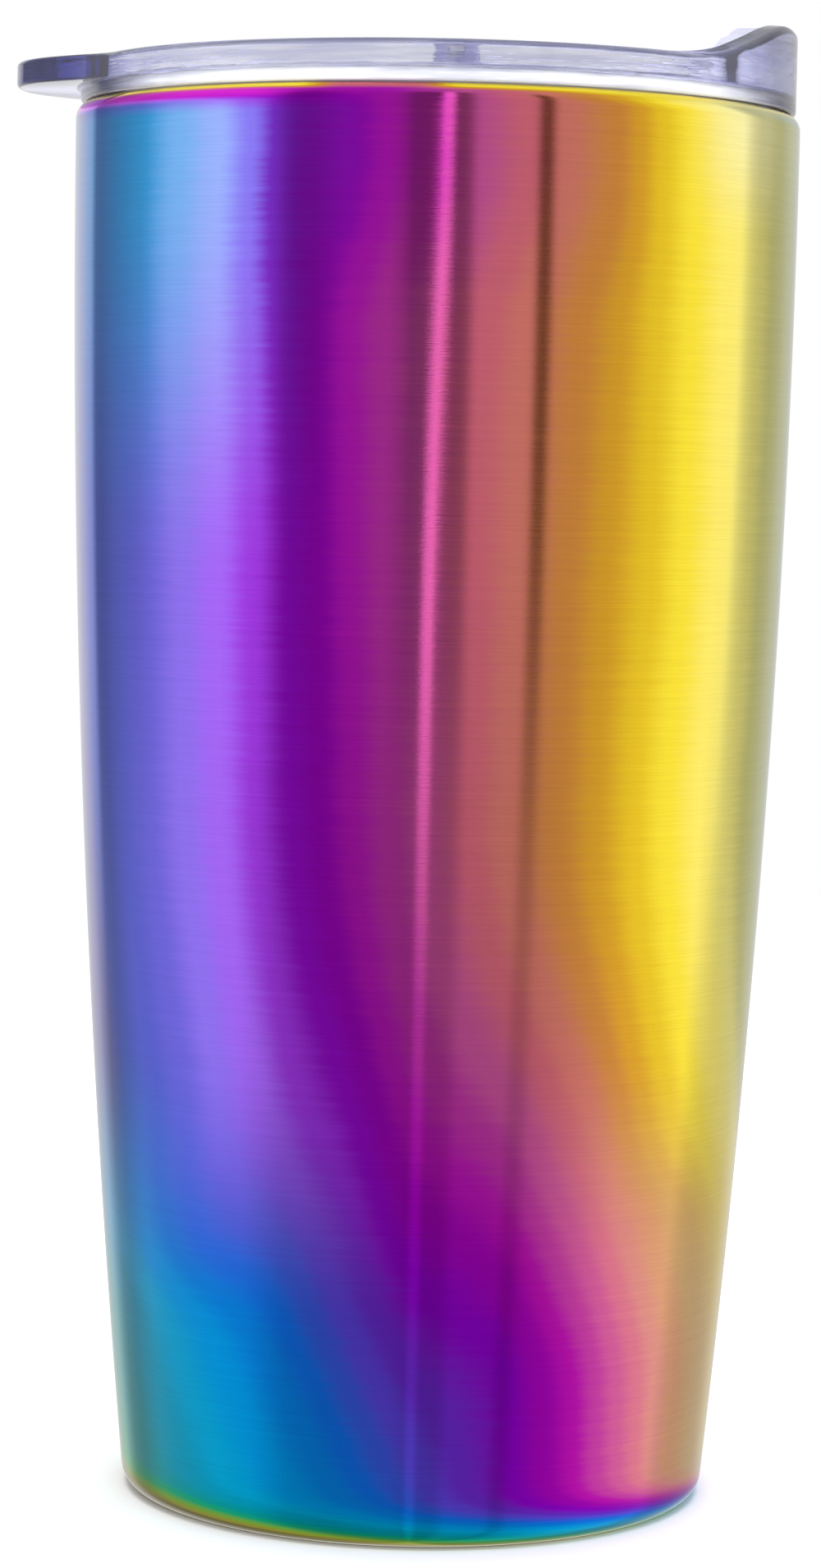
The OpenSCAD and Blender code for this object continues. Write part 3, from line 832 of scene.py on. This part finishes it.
def rainbow_steel():
    """Brushed steel under a thin coating, whose colours run round the cup and change at the shoulder."""
    made, n = material("rainbow_steel")
    at, x, z, r = n.surface_point()
    across = n.math("DIVIDE", x, n.math("MAXIMUM", r, 1e-5))
    angle = n.times(n.math("ARCSINE", across), 180 / math.pi)
    shoulder = n.smooth(z, BODY_H - 2.0 * MM, BODY_H - 0.9 * MM)
    lip = n.smooth(z, BODY_H - 0.95 * MM, BODY_H - 0.35 * MM)

    # the shoulder keeps to the warm end of the run, and the lip is gold with a rose part near the middle
    film = coating_film(n, at, angle, z)
    rim_film = n.plus(n.math("MAXIMUM", film, -13.0), n.times(n.math("MAXIMUM", angle, 0.0), 0.25))
    film = n.mix(shoulder, film, rim_film)
    dull = n.times(n.smooth(angle, -22.0, -14.0, 0.0, 34.0), n.smooth(angle, 4.0, -4.0))
    film = n.mix(lip, film, n.minus(44.0, dull))

    # the body's colours, then the blue patch below the mouth, the rim's magenta and a painted highlight in
    # pale yellow
    low = n.smooth(z, 58 * MM, 26 * MM)
    color = n.mix_color(low, on_ramp(n, film, COATING_UPPER), on_ramp(n, film, COATING_LOWER))
    patch = n.times(n.smooth(z, 108 * MM, 158 * MM), n.smooth(z, BODY_H - 1.4 * MM, BODY_H - 3.4 * MM),
                    n.smooth(film, -10.0, -26.0))
    color = n.mix_color(patch, color, on_ramp(n, film, COATING_PATCH))
    rim = n.times(shoulder, n.rest_of(lip), n.smooth(angle, -18.0, -30.0, 0.0, 0.8))
    color = n.mix_color(rim, color, rgb(236, 46, 222))
    # painted highlight: near the top, the coating is washed towards pale yellow where the right soft box
    # is mirrored
    pale = n.times(n.smooth(z, 148 * MM, 163 * MM, 0.0, 0.6), n.smooth(angle, 38.0, 56.0),
                   n.smooth(angle, 68.0, 60.0, 0.2, 1.0))
    color = n.mix_color(pale, color, rgb(246, 242, 190))

    # the brushed lines
    hairs = n.noise(n.scaled(at, (1, 1, 60)), 90.0, 4.0, 0.65)
    long_hairs = n.noise(n.scaled(at, (1, 1, 140)), 30.0, 3.0, 0.6)
    short_hairs = n.noise(n.scaled(at, (1, 1, 11)), 620.0, 2.0, 0.6)
    brushed = n.plus(n.times(hairs, 0.55), n.times(long_hairs, 0.45))
    dim = n.smooth(brushed, 0.3, 0.7, 0.93, 1.03)
    grey = n.add("ShaderNodeCombineColor", {0: dim, 1: dim, 2: dim}).outputs[0]
    color = n.mix_color(1.0, color, grey, blend="MULTIPLY")
    tangent = n.add("ShaderNodeTangent", direction_type="RADIAL", axis="Z").outputs[0]
    finish_shader(n, {"Base Color": color, "Metallic": 1.0,
                      "Roughness": n.smooth(brushed, 0.25, 0.75, 0.08, 0.12),
                      "Anisotropic": 0.97, "Anisotropic Rotation": 0.25, "Tangent": tangent},
                  bump=n.plus(brushed, n.times(short_hairs, 0.8)), strength=0.2, distance=0.03 * MM)
    return made


def turned_steel(name, color, radial=False):
    """Bare steel with fine lines round the axis: rings on a disc, level lines on a wall."""
    made, n = material(name)
    at, x, _, r = n.surface_point()
    if radial:
        rings = n.add("ShaderNodeCombineXYZ", {0: r, 1: 0.0, 2: n.times(x, 0.02)}).outputs[0]
        brushed = n.noise(rings, 4000.0, 3.0, 0.6)
    else:
        brushed = n.noise(n.scaled(at, (1, 1, 70)), 70.0, 4.0, 0.65)
    smudge = n.noise(at, 45.0, 4.0, 0.6)
    bright = n.plus(n.smooth(brushed, 0.3, 0.7, 0.82, 1.02), n.smooth(smudge, 0.35, 0.75, 0.0, -0.1))
    tangent = n.add("ShaderNodeTangent", direction_type="RADIAL", axis="Z").outputs[0]
    finish_shader(n, {"Base Color": n.mix_color(bright, rgb(40, 40, 42), color), "Metallic": 1.0,
                      "Roughness": n.smooth(brushed, 0.3, 0.7, 0.26, 0.36),
                      "Anisotropic": 0.8, "Anisotropic Rotation": 0.25, "Tangent": tangent},
                  bump=brushed, strength=0.1, distance=0.04 * MM)
    return made


def moulded(name, clearness, rough, tints, density):
    """Moulded plastic with flow streaks, faint scuffs and a depth of blue-violet colour.

    The brim's top edge and the pull tab are tinted darker blue, painted shade for the dark surroundings
    seen in them, and a band round the foot of the brim is frosted near white, partly painted light for
    the light that the brim's foot carries up.
    """
    made, n = material(name)
    at, x, z, r = n.surface_point()
    flow = n.noise(n.scaled(at, (1, 1, 14)), 60.0, 3.0, 0.6)
    marks = n.noise(at, 700.0, 3.0, 0.6)
    # the band round the foot of the brim is frosted near white; its white is partly painted light,
    # standing in for the light that the brim's foot carries up from below
    band = n.times(n.smooth(z, BRIM_Z + 1.7 * MM, BRIM_Z + 0.7 * MM),
                   n.smooth(z, BRIM_Z - 0.4 * MM, BRIM_Z - 0.3 * MM),
                   n.smooth(r, BRIM_R + 0.5 * MM, BRIM_R + 0.15 * MM),
                   n.smooth(x, 41 * MM, 30 * MM), n.smooth(x, -38.5 * MM, -31 * MM),
                   n.smooth(flow, 0.3, 0.6, 0.6, 0.85))
    # painted shade: the brim's top edge away from the spout and the pull tab are tinted darker blue for
    # the dark surroundings seen in them
    edge = n.times(n.smooth(z, TOP_Z - 0.7 * MM, TOP_Z - 0.35 * MM),
                   n.smooth(x, 30 * MM, 20 * MM, 0.0, 0.7),
                   n.smooth(r, BRIM_R - 1.2 * MM, BRIM_R - 0.8 * MM))
    tab = n.smooth(x, -40 * MM, -43.6 * MM)
    tint = n.mix_color(n.smooth(flow, 0.36, 0.62), *tints)
    tint = n.mix_color(n.math("MAXIMUM", edge, tab), tint, rgb(178, 181, 218))
    tint = n.mix_color(band, tint, rgb(248, 250, 250))
    shader = n.add("ShaderNodeBsdfPrincipled", {
        "Base Color": tint, "Roughness": n.smooth(marks, 0.45, 0.75, *rough), "IOR": 1.5,
        "Transmission Weight": n.mix(band, clearness, 0.1),
        "Normal": bumped(n, flow, 0.2, 0.4 * MM)})
    # light goes straight through to what lies behind, so that the plastic casts only a pale shadow
    let_by = n.add("ShaderNodeBsdfTransparent", {"Color": (0.8, 0.8, 0.88, 1)})
    shadow = n.add("ShaderNodeLightPath").outputs["Is Shadow Ray"]
    surface = n.add("ShaderNodeMixShader", {0: shadow, 1: shader.outputs[0], 2: let_by.outputs[0]})
    depth = n.add("ShaderNodeVolumeAbsorption", {"Color": (0.4, 0.41, 0.78, 1), "Density": density})
    n.add("ShaderNodeOutputMaterial", {"Surface": surface.outputs[0], "Volume": depth.outputs[0]})
    return made


def clear_plastic():
    return moulded("clear_plastic", 0.97, (0.02, 0.1), (rgb(224, 224, 238), rgb(255, 255, 255)), 150.0)


def frosted_plastic():
    return moulded("frosted_plastic", 0.4, (0.28, 0.42), (rgb(222, 222, 230), rgb(236, 236, 243)), 12.0)


def silicone():
    made, n = material("silicone")
    at = n.surface_point()[0]
    grain = n.noise(at, 2600.0, 2.0)
    tint = n.mix_color(n.noise(at, 220.0, 3.0), rgb(208, 210, 216), rgb(232, 233, 238))
    finish_shader(n, {"Base Color": tint, "Roughness": n.smooth(grain, 0.3, 0.7, 0.38, 0.55), "IOR": 1.41,
                      "Subsurface Weight": 0.35, "Subsurface Scale": 2 * MM, "Transmission Weight": 0.15},
                  bump=grain, strength=0.15, distance=0.05 * MM)
    return made


def plain_metal(name, low, high, scale, rough, metallic=1.0, bump=0.2):
    """A metal or glassy surface whose colour and gloss vary with a noise of the given scale."""
    made, n = material(name)
    grain = n.noise(n.surface_point()[0], scale, 4.0, 0.6)
    finish_shader(n, {"Base Color": n.mix_color(grain, low, high), "Metallic": metallic,
                      "Roughness": n.smooth(grain, 0.3, 0.7, *rough)},
                  bump=grain, strength=bump, distance=0.1 * MM)
    return made


# ---------------------------------------------------------------- studio

# Brightness round the room, by the angle in degrees from the camera's side, positive towards +X:
# at the height of the cup, and below it, where the light is softer
ROOM = [
    (-180, 0.8), (-170, 0.82), (-160, 1.0), (-150, 1.1), (-141, 1.0), (-136.5, 0.4), (-131, 0.42),
    (-124, 0.56), (-118, 0.68), (-107, 0.74), (-99, 0.93), (-65, 1.08), (-55, 1.05), (-51, 0.86),
    (-47, 0.62), (-44, 0.57), (-38, 0.62), (-28, 0.84), (-14, 0.8), (-10, 0.6), (-7, 0.38), (-1, 0.36),
    (1, 0.36), (9.5, 0.38), (13, 0.92), (30.6, 0.9), (32.6, 0.21), (35.2, 0.21), (37.5, 0.86), (58, 0.9),
    (73, 1.0), (88, 1.06), (112, 1.06), (117.5, 0.74), (123, 0.6), (130, 0.62), (140, 0.64), (150, 0.72),
    (160, 0.7), (180, 0.75),
]
ROOM_BELOW = [
    (-180, 0.8), (-164, 0.8), (-151, 0.95), (-139, 0.6), (-130, 0.6), (-115, 0.9), (-80, 1.0),
    (-66, 0.95), (-50, 0.66), (-35, 0.6), (-8, 0.62), (-4, 0.58), (-1, 0.56), (1, 0.56), (9, 0.56),
    (14, 0.72), (29.5, 0.72), (32.6, 0.58), (35.8, 0.58), (39.5, 0.75), (60, 0.94), (75, 1.08),
    (105, 1.1), (113, 0.84), (120, 0.74), (130, 0.68), (145, 0.66), (158, 0.72), (180, 0.7),
]


def tone(a, v):
    """A grey that leans slightly blue on the left and slightly warm on the right as it darkens."""
    lean = max(0.6 - v, 0) * min(max(-a / 30, -1), 1)
    return (v * (1 - 0.3 * lean), v * (1 - 0.2 * lean), v * (1 + 0.8 * lean), 1)


def walls_round(n, share, table):
    """Brightness all round, from one ramp for each side because a ramp holds only 32 stops."""
    def half(side):
        stops = [((a + 180) / 360, tone(a, v)) for a, v in table if a * side > 0]
        return n.ramp(share, stops, "LINEAR")

    return n.mix_color(n.math("GREATER_THAN", share, 0.5), half(-1), half(1))


def room():
    """A pale room with tall soft boxes, darker gaps between them and a thin strip light in front.

    It lights the cup and is mirrored in it, but the camera itself sees plain white.
    """
    world = bpy.data.worlds.new("room")
    bpy.context.scene.world = world
    world.use_nodes = True
    n = Nodes(world.node_tree)
    at = n.add("ShaderNodeTexCoord").outputs["Generated"]
    x, y, z = n.add("ShaderNodeSeparateXYZ", {0: at}).outputs
    turn = n.math("ARCTAN2", x, n.times(y, -1.0))
    share = n.plus(n.math("DIVIDE", turn, 2 * math.pi), 0.5)
    below = n.smooth(z, -0.04, -0.2)
    walls = n.mix_color(below, walls_round(n, share, ROOM), walls_round(n, share, ROOM_BELOW))

    strip_at, strip_in, strip_out, strip_lean = -0.006, 0.029, 0.036, 0.42
    lean = n.times(n.math("MINIMUM", n.math("MAXIMUM", n.plus(z, 0.08), 0.0), 0.16), strip_lean)
    off = n.math("ABSOLUTE", n.minus(n.minus(turn, lean), strip_at))
    strip = n.times(n.smooth(off, strip_out, strip_in), n.smooth(z, -0.25, -0.08, 0.15, 1.0))
    walls = n.mix_color(strip, walls, (2.0, 2.0, 2.0, 1))

    glow_behind = n.times(n.smooth(n.math("ABSOLUTE", turn), 2.98, 3.05), n.smooth(z, -0.03, -0.08))
    walls = n.mix_color(glow_behind, walls, (1.2, 1.2, 1.2, 1))
    ceiling = n.smooth(z, 0.45, 0.7)
    seen = n.mix_color(ceiling, walls, (0.95, 0.96, 1.0, 1))
    camera_ray = n.add("ShaderNodeLightPath").outputs["Is Camera Ray"]
    color = n.mix_color(camera_ray, seen, (1, 1, 1, 1))
    light = n.add("ShaderNodeBackground", {"Color": color, "Strength": 1.0})
    n.add("ShaderNodeOutputWorld", {"Surface": light.outputs[0]})


def lamp(name, stand, aim, size, power):
    """A soft lamp that lights the surfaces but is not itself mirrored in them."""
    light = bpy.data.lights.new(name, "AREA")
    light.shape = "RECTANGLE"
    light.size, light.size_y = size
    light.energy = power
    obj = bpy.data.objects.new(name, light)
    obj.location = stand
    obj.rotation_euler = (Vector(aim) - Vector(stand)).to_track_quat("-Z", "Y").to_euler()
    obj.visible_camera = False
    obj.visible_glossy = False
    obj.visible_transmission = False
    bpy.context.scene.collection.objects.link(obj)


def floor():
    """A pale round floor that fades into the white room."""
    floor_r, fade_from, fade_to = 1.6, 0.25, 0.8
    bm = bmesh.new()
    bmesh.ops.create_circle(bm, cap_ends=True, radius=floor_r, segments=128)
    obj = new_object("floor", bm)
    made, n = material("pale_floor")
    at = n.add("ShaderNodeTexCoord").outputs["Object"]
    tint = n.mix_color(n.noise(at, 40.0, 4.0), (0.86, 0.86, 0.87, 1), (0.9, 0.9, 0.9, 1))
    away = n.add("ShaderNodeVectorMath", {0: at}, operation="LENGTH").outputs["Value"]
    far = n.smooth(away, fade_from, fade_to)
    solid = n.add("ShaderNodeBsdfDiffuse", {"Color": tint})
    clear = n.add("ShaderNodeBsdfTransparent")
    mixed = n.add("ShaderNodeMixShader", {0: far, 1: solid.outputs[0], 2: clear.outputs[0]})
    n.add("ShaderNodeOutputMaterial", {"Surface": mixed.outputs[0]})
    obj.data.materials.append(made)
    obj.visible_glossy = False


def camera():
    """Stands where the photographer stood: close to level, a little above the middle of the cup."""
    distance, height, lens_mm = 0.5174, 0.1225, 98.8
    yaw, pitch, roll = (math.radians(a) for a in (0.187, 4.141, 1.156))
    level = math.cos(pitch)
    forward = Vector((-math.sin(yaw) * level, math.cos(yaw) * level, -math.sin(pitch)))
    right = Vector((math.cos(yaw), math.sin(yaw), 0))
    up = right.cross(forward)
    side = right * math.cos(roll) + up * math.sin(roll)
    top = up * math.cos(roll) - right * math.sin(roll)
    data = bpy.data.cameras.new("camera")
    data.lens = lens_mm
    data.sensor_width = 36
    obj = bpy.data.objects.new("camera", data)
    turn = Matrix((side, top, -forward)).transposed().to_4x4()
    obj.matrix_world = Matrix.Translation((0, -distance, height)) @ turn
    bpy.context.scene.collection.objects.link(obj)
    bpy.context.scene.camera = obj


# ---------------------------------------------------------------- build

camera()
rainbow = rainbow_steel()
# the liner's steel is given a lighter colour than bare steel has: painted light for the light that does
# not reach inside the closed cup
bare = turned_steel("liner_steel", rgb(236, 235, 232))
spun = turned_steel("base_steel", rgb(200, 200, 200), radial=True)
plastic = clear_plastic()
frosted = frosted_plastic()
rubber = silicone()
pin_steel = plain_metal("pin_steel", rgb(205, 205, 210), rgb(230, 230, 235), 900.0, (0.3, 0.45))

place(outer_shell(), "cup", rainbow, "outer_shell")
place(liner_wall(), "cup", bare, "liner_wall")
place(liner_base(), "cup", spun, "liner_base")
place(base_cover(), "cup", spun, "base_cover")
place(lid_gasket(), "gasket", rubber, "lid_gasket")
place(lid_body(), "lid", plastic, "lid_body")
place(hinge_pin(), "lid", pin_steel, "hinge_pin")
place(flip_cap(), "cap", frosted, "flip_cap")
place(cap_stopper(), "cap", rubber, "cap_stopper")

HIDDEN = {
    "copper_foil": plain_metal("copper", rgb(190, 105, 70), rgb(235, 150, 110), 260.0, (0.18, 0.4)),
    "base_plate": spun,
    "getter": plain_metal("getter_metal", rgb(60, 60, 62), rgb(105, 105, 108), 3200.0, (0.6, 0.85),
                          bump=0.6),
    "getter_strap": pin_steel,
    "vacuum_seal": plain_metal("solder_glass", rgb(25, 30, 28), rgb(60, 66, 62), 700.0, (0.08, 0.25),
                               metallic=0.0),
}
for node, finish in HIDDEN.items():
    mesh = frame["nodes"][node].data
    mesh.materials.clear()
    mesh.materials.append(finish)

room()
floor()
lamp("overhead", stand=(0, 0.1, 1.1), aim=(0, 0, 0.08), size=(1, 1), power=14)
lamp("fill", stand=(0, -1.2, 0.35), aim=(0, 0, 0.1), size=(1.4, 0.8), power=10)
bpy.context.scene.view_settings.view_transform = "Standard"
